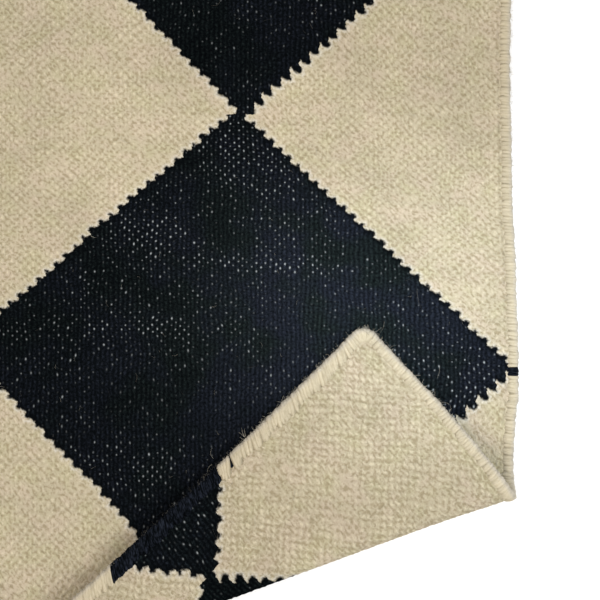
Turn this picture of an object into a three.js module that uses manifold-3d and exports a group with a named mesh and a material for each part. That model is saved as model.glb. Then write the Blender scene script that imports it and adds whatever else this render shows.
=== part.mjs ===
// A flat-woven kilim rug, 0.6 x 0.9 m, with overcast edges and its front right corner folded over.
// Millimetres, +Z up. +X runs across the rug and +Y along it. The origin is on the floor, under the
// middle of the rug.
//
// The rug is drawn first as it was meant, in (u, v): u across it, v along it, with straight edges.
// laidFlat() gives a point of it its true place on the floor, with the bow and the edges' wander, and
// place() then lays that where it is in space, on the floor or round the fold.

import * as THREE from "three";
import { mergeVertices } from "three/addons/utils/BufferGeometryUtils.js";
import Module from "manifold-3d";

const wasm = await Module();
wasm.setup();

// The rug laid out flat
const RUG_WIDTH = 600;
const RUG_LENGTH = 900;
const CORNER_RADIUS = 9;

// Beating the wefts down has left them bowed: the middle of each end lies this far up the rug of its
// corners
const BOW = 13.5;

// The woven cloth: two wefts and a warp thick, and pressed thinner where yarn is wound over its edge
const CLOTH_THICKNESS = 3.6;
const CLOTH_THICKNESS_AT_EDGE = 2.4;
const PRESSED_WIDTH = 7;

// The overcast rolls, with a gap between each and the cloth that it is wound round
const SIDE_ROLL_WIDTH = 6.5;
const END_ROLL_WIDTH = 9;
const ROLL_HEIGHT = 5.4;
const ROLL_WALL = 1.5;
const GAP = 0.3;

// A roll's inner edge is rounded off in steps: each is so far out from it and so far down from the top
const ROLL_LIP = [
  { out: 1.8, down: 0 },
  { out: 0.5, down: 0.25 },
  { out: 0, down: 0.8 },
];

// The distances from an end of a roll at which its rounded tip is worked out
const ROLL_TIP = [0.3, 0.9, 1.8, 2.7, 4.5, 6.5, 9];
const STEPS_ROUND_A_ROLL = 6;
const STEPS_ROUND_A_CORNER = 4;

// The fold. A crease pressed flat would meet the side edge and the front edge this far from the corner.
const CREASE_UP_THE_SIDE = 127.3;
const CREASE_ALONG_THE_FRONT = 347;

// The cloth isn't pressed flat but turns over in a soft loop, then slopes down to where it rests.
// Turns are in degrees, and each stretch is bent in so many steps.
const LIFT_OFF = { turn: 25, radius: 22, steps: 3 };
const TURN_OVER = { turn: 140, radius: 8.5, steps: 9 };
const COME_BACK = { turn: 27, radius: 24, steps: 3 };
const SLOPE = { steps: 2 };
const LEVEL_OUT = { turn: -12, radius: 60, steps: 3 };

// The loop is fatter by this share where the stiff rolls turn over, and that dies away in this length.
// The cloth is cut across the loop at these shares of that length, and in so many steps between.
const FATTER_AT_ROLL = 0.18;
const FATTER_WITHIN = 30;
const CUTS_WHERE_FATTER = [0, 0.3, 0.7, 1.1, 1.7];
const STEPS_BETWEEN = 6;

// How high the flap's middle surface comes to rest
const REST_CLEARANCE = 1.5;
const REST_HEIGHT = CLOTH_THICKNESS * 1.5 + REST_CLEARANCE;

// How far each side edge strays outward from straight, at places along the rug
const RIGHT_EDGE_STRAYS = [
  { v: -450, by: 0 },
  { v: -375, by: 3 },
  { v: -302, by: 0 },
  { v: -285, by: 1.1 },
  { v: -266, by: 3 },
  { v: -244, by: 3 },
  { v: -202, by: 1.7 },
  { v: -152, by: -0.6 },
  { v: -86, by: -1.7 },
  { v: 40, by: 0.8 },
  { v: 170, by: 2.2 },
  { v: 300, by: -0.8 },
  { v: 450, by: 0 },
];
const LEFT_EDGE_STRAYS = [
  { v: -450, by: 0 },
  { v: -330, by: 1.6 },
  { v: -200, by: -1.2 },
  { v: -60, by: 1.5 },
  { v: 90, by: 3 },
  { v: 240, by: -0.6 },
  { v: 360, by: 1.4 },
  { v: 450, by: 0 },
];
const STRAY_WIDTH = 90;
const STEPS_PER_STRAY = 3;
const STEPS_ACROSS = 12;

// How near a line a point has to be to lie on it: as a cut is made, and on a side of a finished cell
const TOUCHING = 0.001;
const ON_A_SIDE_WITHIN = 0.01;
const CROSSING_WITHIN = 0.01;

// Sections of a roll are at least this far apart: along a side, and along an end with its tight tips
const SECTIONS_APART_AT_SIDE = 1;
const SECTIONS_APART_AT_END = 0.4;

const HALF_WIDTH = RUG_WIDTH / 2;
const HALF_LENGTH = RUG_LENGTH / 2;

const radians = THREE.MathUtils.degToRad;
const { lerp, clamp, smoothstep } = THREE.MathUtils;

// The stretches of the loop, each an arc or a straight length. The straight slope is as long as it
// takes to bring the flap down to its rest height.
function loopStretches(fatness) {
  const arcs = [LIFT_OFF, { ...TURN_OVER, radius: TURN_OVER.radius * fatness }, COME_BACK];
  const stretches = [];
  let angle = 0;
  let height = CLOTH_THICKNESS / 2;
  for (const { turn, radius, steps } of arcs) {
    const next = angle + radians(turn);
    height += radius * (Math.cos(angle) - Math.cos(next));
    stretches.push({ length: radius * radians(turn), radius, steps });
    angle = next;
  }
  const levelling = radians(-LEVEL_OUT.turn);
  const levelled = LEVEL_OUT.radius * (1 - Math.cos(levelling));
  const slope = (height - levelled - REST_HEIGHT) / Math.sin(levelling);
  stretches.push({ length: slope, steps: SLOPE.steps });
  stretches.push({
    length: LEVEL_OUT.radius * levelling,
    radius: -LEVEL_OUT.radius,
    steps: LEVEL_OUT.steps,
  });
  return stretches;
}

// Where a point of the cloth is after it has gone `distance` past the line where the cloth lifts off
function loopAt(distance, fatness) {
  const at = { reach: 0, height: CLOTH_THICKNESS / 2, angle: 0 };
  let left = distance;
  for (const { length, radius } of [...loopStretches(fatness), { length: Infinity }]) {
    const gone = Math.min(left, length);
    if (radius) {
      const next = at.angle + gone / radius;
      at.reach += radius * (Math.sin(next) - Math.sin(at.angle));
      at.height += radius * (Math.cos(at.angle) - Math.cos(next));
      at.angle = next;
    } else {
      at.reach += gone * Math.cos(at.angle);
      at.height += gone * Math.sin(at.angle);
    }
    left -= gone;
    if (left <= 0) break;
  }
  return at;
}

// How far an edge strays at v, eased from row to row of its table
function strayAt(rows, v) {
  const next = clamp(rows.findIndex((row) => row.v > v), 1, rows.length - 1);
  const [a, b] = [rows[next - 1], rows[next]];
  return lerp(a.by, b.by, smoothstep(v, a.v, b.v));
}

// A point of the rug as it lies before its corner is folded
function laidFlat(u, v) {
  const rows = u > 0 ? RIGHT_EDGE_STRAYS : LEFT_EDGE_STRAYS;
  const share = smoothstep(Math.abs(u), HALF_WIDTH - STRAY_WIDTH, HALF_WIDTH);
  const bowed = BOW * (0.5 - (u / HALF_WIDTH) ** 2);
  return new THREE.Vector2(u + Math.sign(u) * strayAt(rows, v) * share, v + bowed);
}

// The crease, on the rug as it lies before it is folded
const corner = laidFlat(HALF_WIDTH, -HALF_LENGTH);
const creaseAtSide = corner.clone().add(new THREE.Vector2(0, CREASE_UP_THE_SIDE));
const creaseAtFront = corner.clone().sub(new THREE.Vector2(CREASE_ALONG_THE_FRONT, 0));
const alongCrease = creaseAtSide.clone().sub(creaseAtFront).normalize();
const overCrease = new THREE.Vector2(alongCrease.y, -alongCrease.x);
const creaseLength = creaseAtSide.distanceTo(creaseAtFront);

// The cloth lifts off before the crease, by half the length that the loop takes up
const ROUND_THE_LOOP = loopStretches(1).reduce((sum, { length }) => sum + length, 0);
const LIFT_OFF_BEFORE = (ROUND_THE_LOOP + loopAt(ROUND_THE_LOOP, 1).reach) / 2;

// How far a point (u, v) is past the line where the cloth lifts off, and where it is along the crease
function foldCoordinates(u, v) {
  const fromSide = laidFlat(u, v).sub(creaseAtSide);
  return { past: fromSide.dot(overCrease) + LIFT_OFF_BEFORE, along: fromSide.dot(alongCrease) };
}

function fatnessAt(along) {
  const nearSide = Math.exp(-((along / FATTER_WITHIN) ** 2));
  const nearFront = Math.exp(-(((along + creaseLength) / FATTER_WITHIN) ** 2));
  return 1 + FATTER_AT_ROLL * (nearSide + nearFront);
}

// 0 in the open cloth, and 1 where it is pressed between the two halves of a roll
function pressedAt(u, v) {
  const [side, end] = [HALF_WIDTH - SIDE_ROLL_WIDTH, HALF_LENGTH - END_ROLL_WIDTH];
  const nearSide = smoothstep(Math.abs(u), side - PRESSED_WIDTH, side);
  const nearEnd = smoothstep(Math.abs(v), end - PRESSED_WIDTH, end);
  return Math.max(nearSide, nearEnd);
}

function thicknessAt(u, v) {
  return lerp(CLOTH_THICKNESS, CLOTH_THICKNESS_AT_EDGE, pressedAt(u, v));
}

// The point of space where (u, v) lies, at a height above the cloth's middle surface. A bound edge is
// lifted, so that the roll round it stands on the floor and the open cloth lies flat on it.
function place(u, v, above) {
  const { x, y } = laidFlat(u, v);
  const { past, along } = foldCoordinates(u, v);
  const onFloor = 1 - smoothstep(past, 0, LIFT_OFF.radius);
  const lifted = ((ROLL_HEIGHT - CLOTH_THICKNESS) / 2) * pressedAt(u, v) * onFloor + above;
  if (past <= 0) return new THREE.Vector3(x, y, CLOTH_THICKNESS / 2 + lifted);
  const { reach, height, angle } = loopAt(past, fatnessAt(along));
  const over = reach - past - lifted * Math.sin(angle);
  return new THREE.Vector3(
    x + overCrease.x * over,
    y + overCrease.y * over,
    height + lifted * Math.cos(angle),
  );
}

// The places that cut the length from `first` to `last` into so many equal steps
function evenly(first, last, steps) {
  return Array.from({ length: steps - 1 }, (_, k) => lerp(first, last, (k + 1) / steps));
}

// The lines past which the loop is bent, closer together where it is tighter
function foldLines() {
  const lines = [0];
  for (const { length, steps } of loopStretches(1)) {
    const start = lines.at(-1);
    for (let k = 1; k <= steps; k++) lines.push(start + (length * k) / steps);
  }
  return lines;
}

// The places along the crease at which the cloth is cut: close together where the loop grows fatter
function crossLines() {
  const nearEnd = CUTS_WHERE_FATTER.map((share) => share * FATTER_WITHIN);
  const between = evenly(nearEnd.at(-1), creaseLength - nearEnd.at(-1), STEPS_BETWEEN);
  return [...nearEnd, ...between, ...nearEnd.map((d) => creaseLength - d)].map((d) => -d);
}

// The rug's outline, drawn in by `inset`, as a convex polygon that runs anticlockwise
function outline(inset) {
  const radius = CORNER_RADIUS - inset;
  const corners = [
    { x: 1, y: -1, start: -90 },
    { x: 1, y: 1, start: 0 },
    { x: -1, y: 1, start: 90 },
    { x: -1, y: -1, start: 180 },
  ];
  const points = [];
  for (const { x, y, start } of corners)
    for (let k = 0; k <= STEPS_ROUND_A_CORNER; k++) {
      const angle = radians(start + (90 * k) / STEPS_ROUND_A_CORNER);
      const u = x * (HALF_WIDTH - CORNER_RADIUS) + radius * Math.cos(angle);
      const v = y * (HALF_LENGTH - CORNER_RADIUS) + radius * Math.sin(angle);
      points.push(new THREE.Vector2(u, v));
    }
  return points;
}

// The two parts of a convex polygon on either side of a line, or the whole one if the line misses it
function split(polygon, side) {
  const near = [];
  const far = [];
  polygon.forEach((p, i) => {
    const q = polygon[(i + 1) % polygon.length];
    const [a, b] = [side(p), side(q)];
    if (a <= TOUCHING) near.push(p);
    if (a >= -TOUCHING) far.push(p);
    if (Math.abs(a) > TOUCHING && Math.abs(b) > TOUCHING && a * b < 0) {
      const crossing = p.clone().lerp(q, a / (a - b));
      near.push(crossing);
      far.push(crossing);
    }
  });
  const whole = (part) => part.length > 2 && THREE.ShapeUtils.area(part) > TOUCHING;
  return [near, far].filter(whole);
}

function middleOf(points) {
  return points.reduce((sum, p) => sum.add(p), new THREE.Vector2()).divideScalar(points.length);
}

// The flat cloth cut into cells, so that it can bend where the cuts are. A cut is along the line where
// `side` is 0, and goes through those cells whose middles are wanted.
function cells(inset) {
  const everywhere = () => true;
  const inFold = (c) => foldCoordinates(c.x, c.y).past > 0;
  const atSide = (c) => Math.abs(c.x) > HALF_WIDTH - SIDE_ROLL_WIDTH - PRESSED_WIDTH;
  const atRight = (c) => c.x > 0 && atSide(c);
  const atLeft = (c) => c.x < 0 && atSide(c);
  const atEnd = (c) => Math.abs(c.y) > HALF_LENGTH - END_ROLL_WIDTH - PRESSED_WIDTH;

  let polygons = [outline(inset)];
  const cut = (wanted, side) => {
    polygons = polygons.flatMap((cell) => (wanted(middleOf(cell)) ? split(cell, side) : [cell]));
  };
  for (const sign of [-1, 1])
    for (const pressed of [0, PRESSED_WIDTH]) {
      cut(everywhere, (p) => sign * p.x - (HALF_WIDTH - SIDE_ROLL_WIDTH - pressed));
      cut(everywhere, (p) => sign * p.y - (HALF_LENGTH - END_ROLL_WIDTH - pressed));
    }
  for (const u of acrossStations()) cut(atEnd, (p) => p.x - u);
  for (const v of stations(RIGHT_EDGE_STRAYS)) cut(atRight, (p) => p.y - v);
  for (const v of stations(LEFT_EDGE_STRAYS)) cut(atLeft, (p) => p.y - v);
  const [liftOff, ...bends] = foldLines();
  cut(everywhere, (p) => foldCoordinates(p.x, p.y).past - liftOff);
  for (const line of crossLines()) cut(inFold, (p) => foldCoordinates(p.x, p.y).along - line);
  for (const line of bends) cut(inFold, (p) => foldCoordinates(p.x, p.y).past - line);
  return polygons;
}

// The places along a side where its stray is worked out
function stations(strays) {
  return strays.slice(1).flatMap((row, i) => [...evenly(strays[i].v, row.v, STEPS_PER_STRAY), row.v]);
}

// The places across an end where its bow is worked out
function acrossStations() {
  return evenly(-HALF_WIDTH, HALF_WIDTH, STEPS_ACROSS);
}

function geometryOf(positions, triangles) {
  const geometry = new THREE.BufferGeometry();
  geometry.setAttribute("position", new THREE.Float32BufferAttribute(positions, 3));
  geometry.setIndex(triangles);
  return geometry;
}

// A closed sheet with a face above and a face below the middle surface, from cells of the flat cloth
function sheet(polygons, thickness) {
  const points = [];
  const known = new Map();
  const indexOf = (p) => {
    const key = `${p.x.toFixed(2)} ${p.y.toFixed(2)}`;
    if (!known.has(key)) {
      known.set(key, points.length);
      points.push(p);
    }
    return known.get(key);
  };
  const differs = (p, i, ring) => p !== ring.at(i - 1);
  const rings = polygons.map((polygon) => polygon.map(indexOf).filter(differs));

  // A corner of one cell that lies on another's side becomes a point of that side too
  const filled = rings.map((ring) =>
    ring.flatMap((a, i) => {
      const b = ring[(i + 1) % ring.length];
      const along = points[b].clone().sub(points[a]);
      const between = points.map((point, p) => {
        const to = point.clone().sub(points[a]);
        const off = Math.abs(to.cross(along)) / along.length();
        return { p, off, share: to.dot(along) / along.lengthSq() };
      });
      const onSide = ({ p, off, share }) =>
        share > 0 && share < 1 && off < ON_A_SIDE_WITHIN && p !== a && p !== b;
      const inTurn = between.filter(onSide).sort((one, other) => one.share - other.share);
      return [a, ...inTurn.map(({ p }) => p)];
    }),
  );

  const faces = [];
  for (const ring of filled) {
    if (ring.length === 3) {
      faces.push(ring);
      continue;
    }
    const hub = points.push(middleOf(ring.map((p) => points[p]))) - 1;
    ring.forEach((a, i) => faces.push([hub, a, ring[(i + 1) % ring.length]]));
  }

  // Point p of the cells is vertex 2p of the face above and vertex 2p + 1 of the face below
  const positions = points.flatMap(({ x, y }) => {
    const half = thickness(x, y) / 2;
    return [...place(x, y, half), ...place(x, y, -half)];
  });
  const above = faces.flat().map((p) => 2 * p);
  const below = faces.flatMap(([a, b, c]) => [2 * c + 1, 2 * b + 1, 2 * a + 1]);
  const sides = filled.flatMap((ring) => ring.map((a, i) => [a, ring[(i + 1) % ring.length]]));
  const shared = new Set(sides.map(([a, b]) => `${b} ${a}`));
  const walls = sides
    .filter(([a, b]) => !shared.has(`${a} ${b}`))
    .flatMap(([a, b]) => [2 * a + 1, 2 * b + 1, 2 * b, 2 * a + 1, 2 * b, 2 * a]);
  return geometryOf(positions, [...above, ...below, ...walls]);
}

// The section of a roll: round on the outside, flat above and below, with a thin lip on the cloth.
// Each point is so far in from the rug's edge and so far above the cloth's middle.
function rollSection(width) {
  const half = ROLL_HEIGHT / 2;
  const outside = Array.from({ length: STEPS_ROUND_A_ROLL + 1 }, (_, k) => {
    const angle = Math.PI / 2 + (Math.PI * k) / STEPS_ROUND_A_ROLL;
    return { inward: half + half * Math.cos(angle), above: half * Math.sin(angle) };
  });
  const below = ROLL_LIP.map(({ out, down }) => ({ inward: width - out, above: down - half }));
  const above = ROLL_LIP.map(({ out, down }) => ({ inward: width - out, above: half - down }));
  return [...outside, ...below, ...above.reverse()];
}

// The four edges of the flat rug, each run anticlockwise, with the cloth on the left
const EDGES = {
  front: { start: [-HALF_WIDTH, -HALF_LENGTH], along: [1, 0], length: RUG_WIDTH },
  right: { start: [HALF_WIDTH, -HALF_LENGTH], along: [0, 1], length: RUG_LENGTH },
  back: { start: [HALF_WIDTH, HALF_LENGTH], along: [-1, 0], length: RUG_WIDTH },
  left: { start: [-HALF_WIDTH, HALF_LENGTH], along: [0, -1], length: RUG_LENGTH },
};

function onEdge({ start, along }, distance, inward) {
  return [
    start[0] + along[0] * distance - along[1] * inward,
    start[1] + along[1] * distance + along[0] * inward,
  ];
}

// Where on an edge the fold's lines cross the middle of its roll, each found by halving the edge
function foldCrossings(edge, width) {
  const past = (distance) => foldCoordinates(...onEdge(edge, distance, width / 2)).past;
  const rising = Math.sign(past(edge.length) - past(0));
  return foldLines().flatMap((line) => {
    let [low, high] = [0, edge.length];
    if ((past(low) - line) * (past(high) - line) > 0) return [];
    while (high - low > CROSSING_WITHIN) {
      const middle = (low + high) / 2;
      if (rising * (past(middle) - line) < 0) low = middle;
      else high = middle;
    }
    return [low];
  });
}

// A closed bar along an edge, with its section at each distance along the edge
function bar(edge, distances, sectionAt) {
  const positions = [];
  const triangles = [];
  const rings = distances.map((distance) =>
    sectionAt(distance).map(({ inward, above }) => {
      const [u, v] = onEdge(edge, distance, inward);
      return positions.push(...place(u, v, above)) / 3 - 1;
    }),
  );
  rings.slice(1).forEach((ring, i) => {
    const before = rings[i];
    ring.forEach((_, k) => {
      const next = (k + 1) % ring.length;
      triangles.push(before[k], before[next], ring[next], before[k], ring[next], ring[k]);
    });
  });
  for (let k = 1; k < rings[0].length - 1; k++) {
    triangles.push(rings[0][0], rings[0][k + 1], rings[0][k]);
    triangles.push(rings.at(-1)[0], rings.at(-1)[k], rings.at(-1)[k + 1]);
  }
  return geometryOf(positions, triangles);
}

// Distances in rising order, with any that come closer than `apart` left out
function inOrder(distances, apart) {
  const kept = [];
  for (const distance of distances.toSorted((a, b) => a - b))
    if (!kept.length || distance - kept.at(-1) > apart) kept.push(distance);
  return kept;
}

// Those of the distances that are clear of both ends of the edge
function clearOfEnds(distances, edge, clear) {
  return distances.filter((d) => d > clear && d < edge.length - clear);
}

function sideBar(edge, strays) {
  const section = rollSection(SIDE_ROLL_WIDTH);
  const ends = END_ROLL_WIDTH + GAP;
  const atStrays = stations(strays).map((v) => HALF_LENGTH + edge.along[1] * v);
  const bends = [...atStrays, ...foldCrossings(edge, SIDE_ROLL_WIDTH)];
  const between = clearOfEnds(bends, edge, ends + SECTIONS_APART_AT_SIDE);
  const distances = inOrder([ends, ...between, edge.length - ends], SECTIONS_APART_AT_SIDE);
  return bar(edge, distances, () => section);
}

// An end's bar runs the whole width and is rounded at both of the rug's corners
function endBar(edge) {
  const section = rollSection(END_ROLL_WIDTH);
  const half = ROLL_HEIGHT / 2;
  const tips = ROLL_TIP.flatMap((d) => [d, edge.length - d]);
  const across = acrossStations().map((u) => HALF_WIDTH + edge.along[0] * u);
  const bends = [...across, ...foldCrossings(edge, END_ROLL_WIDTH)];
  const between = clearOfEnds(bends, edge, CORNER_RADIUS + SECTIONS_APART_AT_SIDE);
  const sectionAt = (distance) => {
    const fromEnd = Math.min(distance, edge.length - distance);
    const intoCorner = Math.max(0, CORNER_RADIUS - fromEnd);
    const cut = CORNER_RADIUS - Math.sqrt(CORNER_RADIUS ** 2 - intoCorner ** 2);
    const flatter = Math.sqrt(1 - (Math.max(0, half - fromEnd) / half) ** 2);
    return section.map(({ inward, above }) => ({
      inward: cut + inward * (1 - cut / END_ROLL_WIDTH),
      above: above * flatter,
    }));
  };
  return bar(edge, inOrder([...tips, ...between], SECTIONS_APART_AT_END), sectionAt);
}

function solidOf(geometry) {
  const merged = mergeVertices(geometry, TOUCHING);
  return new wasm.Manifold(
    new wasm.Mesh({
      numProp: 3,
      vertProperties: merged.attributes.position.array,
      triVerts: new Uint32Array(merged.index.array),
    }),
  );
}

function geometryFrom(solid) {
  const { vertProperties, triVerts } = solid.getMesh();
  return geometryOf(vertProperties, Array.from(triVerts));
}

// Cream wool, in the cloth and in the yarn wound over its edges
const wovenWool = new THREE.MeshStandardMaterial({ color: "#c6b99d", roughness: 0.95, metalness: 0 });
const overcastYarn = new THREE.MeshStandardMaterial({ color: "#cfc3a5", roughness: 0.9, metalness: 0 });

function named(name, geometry, material) {
  const mesh = new THREE.Mesh(geometry, material);
  mesh.name = name;
  return mesh;
}

const field = sheet(cells(ROLL_WALL + GAP), thicknessAt);
const slot = solidOf(sheet(cells(ROLL_WALL), (u, v) => thicknessAt(u, v) + 2 * GAP));
const roundCloth = (geometry) => geometryFrom(solidOf(geometry).subtract(slot));

const rug = new THREE.Group();
rug.add(
  named("field", field, wovenWool),
  named("binding_side_right", roundCloth(sideBar(EDGES.right, RIGHT_EDGE_STRAYS)), overcastYarn),
  named("binding_side_left", roundCloth(sideBar(EDGES.left, LEFT_EDGE_STRAYS)), overcastYarn),
  named("binding_end_front", roundCloth(endBar(EDGES.front)), overcastYarn),
  named("binding_end_back", roundCloth(endBar(EDGES.back)), overcastYarn),
);

export default rug;
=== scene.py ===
"""A flat-woven kilim rug of cream and black wool, lying with its front right corner folded over.

The rug is drawn first in the flat, in millimetres, as its weaver meant it: u across, v along. place()
lays each point where it is in space, on the floor or round the fold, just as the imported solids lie.
The cloth is counted in threads: a is the number of warps from the middle of the rug, and b the number
of picks of weft from the middle of the nearer diamonds.
"""

import math

import bpy
import numpy as np
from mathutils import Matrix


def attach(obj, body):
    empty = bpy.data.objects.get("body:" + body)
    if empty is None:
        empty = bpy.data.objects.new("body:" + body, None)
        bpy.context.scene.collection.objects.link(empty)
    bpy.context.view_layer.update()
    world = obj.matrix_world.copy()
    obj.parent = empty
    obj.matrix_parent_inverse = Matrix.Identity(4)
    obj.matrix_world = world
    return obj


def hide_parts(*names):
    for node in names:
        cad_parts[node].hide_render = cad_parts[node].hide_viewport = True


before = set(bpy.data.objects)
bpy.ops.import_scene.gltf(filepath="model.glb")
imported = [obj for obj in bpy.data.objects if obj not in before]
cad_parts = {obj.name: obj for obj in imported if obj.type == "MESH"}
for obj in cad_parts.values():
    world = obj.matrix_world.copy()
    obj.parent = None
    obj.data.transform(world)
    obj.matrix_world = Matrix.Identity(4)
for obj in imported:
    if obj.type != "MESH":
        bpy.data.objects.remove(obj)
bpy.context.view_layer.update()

METRES = 0.001

# The rug laid out flat, in millimetres
HALF_WIDTH = 300
HALF_LENGTH = 450
CORNER_RADIUS = 9
IN_FROM_CORNER = 1.8
BOW = 13.5
CLOTH_THICKNESS = 3.6
CLOTH_THICKNESS_AT_EDGE = 2.9
PRESSED_WIDTH = 7
SIDE_ROLL_WIDTH = 6.5
END_ROLL_WIDTH = 9
ROLL_HEIGHT = 5.4

# The fold: where a flat crease would meet the edges, measured from the corner, and the soft loop that
# the cloth makes there. Turns are in degrees. Near the stiff rolls the loop is fatter. The flap comes
# to rest a gap above the cloth that lies on the floor.
CREASE_UP_THE_SIDE = 127.3
CREASE_ALONG_THE_FRONT = 347
LIFT_OFF = {"turn": 25, "radius": 22}
TURN_OVER = {"turn": 140, "radius": 8.5}
COME_BACK = {"turn": 27, "radius": 24}
LEVEL_OUT = {"turn": -12, "radius": 60}
FATTER_AT_ROLL = 0.18
FATTER_WITHIN = 30
FLAP_GAP = 1.5
REST_HEIGHT = CLOTH_THICKNESS * 1.5 + FLAP_GAP

# How far each side edge strays outward: rows of v and how far
RIGHT_EDGE_STRAYS = np.array([
    (-450, 0), (-375, 3), (-302, 0), (-285, 1.1), (-266, 3), (-244, 3), (-202, 1.7),
    (-152, -0.6), (-86, -1.7), (40, 0.8), (170, 2.2), (300, -0.8), (450, 0),
])
LEFT_EDGE_STRAYS = np.array([
    (-450, 0), (-330, 1.6), (-200, -1.2), (-60, 1.5), (90, 3), (240, -0.6), (360, 1.4), (450, 0),
])
STRAY_WIDTH = 90

FULL_TURN = 2 * math.pi

# How many waves make up a field that drifts
DRIFT_WAVES = 9


def smoothstep(x, low, high):
    """0 below low, 1 above high, and eased between."""
    share = np.clip((x - low) / (high - low), 0, 1)
    return share * share * (3 - 2 * share)


def mix(a, b, share):
    """a where the share is 0 and b where it is 1."""
    return a + (b - a) * share


def drift(x, y, shortest, longest, seed):
    """A smooth random field, mostly between -1 and 1, made of waves between two lengths."""
    random = np.random.default_rng(seed)
    total = np.zeros(np.broadcast(x, y).shape)
    for _ in range(DRIFT_WAVES):
        length, heading, phase = random.uniform([shortest, 0, 0], [longest, FULL_TURN, FULL_TURN])
        across = x * math.cos(heading) + y * math.sin(heading)
        total += np.sin(FULL_TURN * across / length + phase)
    return total / math.sqrt(2 * DRIFT_WAVES)


# The rug's lie


def stray_at(rows, v):
    """How far an edge strays at v, eased from row to row of its table."""
    after = np.clip(np.searchsorted(rows[:, 0], v, side="right"), 1, len(rows) - 1)
    a, b = rows[after - 1], rows[after]
    return mix(a[..., 1], b[..., 1], smoothstep(v, a[..., 0], b[..., 0]))


def laid_flat(u, v):
    """A point of the rug as it lies before its corner is folded."""
    stray = np.where(u > 0, stray_at(RIGHT_EDGE_STRAYS, v), stray_at(LEFT_EDGE_STRAYS, v))
    share = smoothstep(np.abs(u), HALF_WIDTH - STRAY_WIDTH, HALF_WIDTH)
    return u + np.sign(u) * stray * share, v + BOW * (0.5 - (u / HALF_WIDTH) ** 2)


CORNER = np.array(laid_flat(np.float64(HALF_WIDTH), np.float64(-HALF_LENGTH)))
CREASE_AT_SIDE = CORNER + (0, CREASE_UP_THE_SIDE)
CREASE_AT_FRONT = CORNER - (CREASE_ALONG_THE_FRONT, 0)
CREASE_LENGTH = math.dist(CREASE_AT_SIDE, CREASE_AT_FRONT)
ALONG_CREASE = (CREASE_AT_SIDE - CREASE_AT_FRONT) / CREASE_LENGTH
OVER_CREASE = np.array([ALONG_CREASE[1], -ALONG_CREASE[0]])


def loop_stretches(fatness):
    """The loop's stretches, each with its length and its radius, or None where it is straight."""
    stretches = []
    angle = 0
    height = CLOTH_THICKNESS / 2
    for arc, grown in ((LIFT_OFF, 1), (TURN_OVER, fatness), (COME_BACK, 1)):
        radius = arc["radius"] * grown
        after = angle + math.radians(arc["turn"])
        height = height + radius * (math.cos(angle) - math.cos(after))
        stretches.append((radius * math.radians(arc["turn"]), radius))
        angle = after
    levelling = math.radians(-LEVEL_OUT["turn"])
    levelled = LEVEL_OUT["radius"] * (1 - math.cos(levelling))
    slope = (height - levelled - REST_HEIGHT) / math.sin(levelling)
    stretches.append((slope, None))
    stretches.append((LEVEL_OUT["radius"] * levelling, -LEVEL_OUT["radius"]))
    stretches.append((np.inf, None))
    return stretches


def loop_at(distance, fatness):
    """How far the cloth reaches, how high it is and how it is tilted, so far past its lift-off line."""
    reach = np.zeros_like(distance)
    height = np.full_like(distance, CLOTH_THICKNESS / 2)
    angle = np.zeros_like(distance)
    left = np.maximum(distance, 0)
    for length, radius in loop_stretches(fatness):
        gone = np.minimum(left, length)
        if radius is None:
            reach = reach + gone * np.cos(angle)
            height = height + gone * np.sin(angle)
        else:
            after = angle + gone / radius
            reach = reach + radius * (np.sin(after) - np.sin(angle))
            height = height + radius * (np.cos(angle) - np.cos(after))
            angle = after
        left = left - gone
    return reach, height, angle


# The cloth lifts off the floor so far before the crease line that the flap lies where a flat crease
# would lay it.
ROUND_THE_LOOP = sum(length for length, _ in loop_stretches(1)[:-1])
LIFT_OFF_BEFORE = (ROUND_THE_LOOP + float(loop_at(np.float64(ROUND_THE_LOOP), 1)[0])) / 2


def pressed_at(u, v):
    """0 in the open cloth, and 1 where it is pressed between the two halves of a roll."""
    side = HALF_WIDTH - SIDE_ROLL_WIDTH
    end = HALF_LENGTH - END_ROLL_WIDTH
    near_side = smoothstep(np.abs(u), side - PRESSED_WIDTH, side)
    near_end = smoothstep(np.abs(v), end - PRESSED_WIDTH, end)
    return np.maximum(near_side, near_end)


def place(u, v, above):
    """The point of space where (u, v) lies, so far above the cloth's middle surface. The cloth inside
    a roll that lies on the floor is held up to the roll's middle."""
    x, y = laid_flat(u, v)
    from_side = np.stack([x - CREASE_AT_SIDE[0], y - CREASE_AT_SIDE[1]], axis=-1)
    past = from_side @ OVER_CREASE + LIFT_OFF_BEFORE
    along = from_side @ ALONG_CREASE
    near_side = np.exp(-((along / FATTER_WITHIN) ** 2))
    near_front = np.exp(-(((along + CREASE_LENGTH) / FATTER_WITHIN) ** 2))
    fatness = 1 + FATTER_AT_ROLL * (near_side + near_front)
    on_floor = 1 - smoothstep(past, 0, LIFT_OFF["radius"])
    lifted = (ROLL_HEIGHT - CLOTH_THICKNESS) / 2 * pressed_at(u, v) * on_floor + above
    reach, height, angle = loop_at(past, fatness)
    over = np.where(past > 0, reach - past - lifted * np.sin(angle), 0)
    return np.stack([
        x + OVER_CREASE[0] * over,
        y + OVER_CREASE[1] * over,
        height + lifted * np.cos(angle),
    ], axis=-1)


# The weave, counted in threads, and how far apart its warps are

WARP = 2.5

# Half a diamond, in warps across and in picks along, and the steps of its edges, in both
DIAMOND_WARPS = 60
DIAMOND_PICKS = 59
STEP = 2

# Where the picks lie along the rug, because its weaver didn't beat them down alike: rows of b and v.
# The diamonds' corners are at multiples of DIAMOND_PICKS.
PICKS = np.array([
    (-73.5, -450), (-59, -411), (0, -253), (59, -122), (118, 22), (177, 167), (236, 310), (295, 454),
])

# How far the cloth reaches inside its rolls, in picks and in warps, and how far in from there its
# threads are straight and its beads even
CLOTH_ENDS = (-72.5, 292.5)
CLOTH_SIDE = 119
STRAIGHT_WARPS = 12
STRAIGHT_PICKS = 10
EVEN_WARPS = 4

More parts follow.
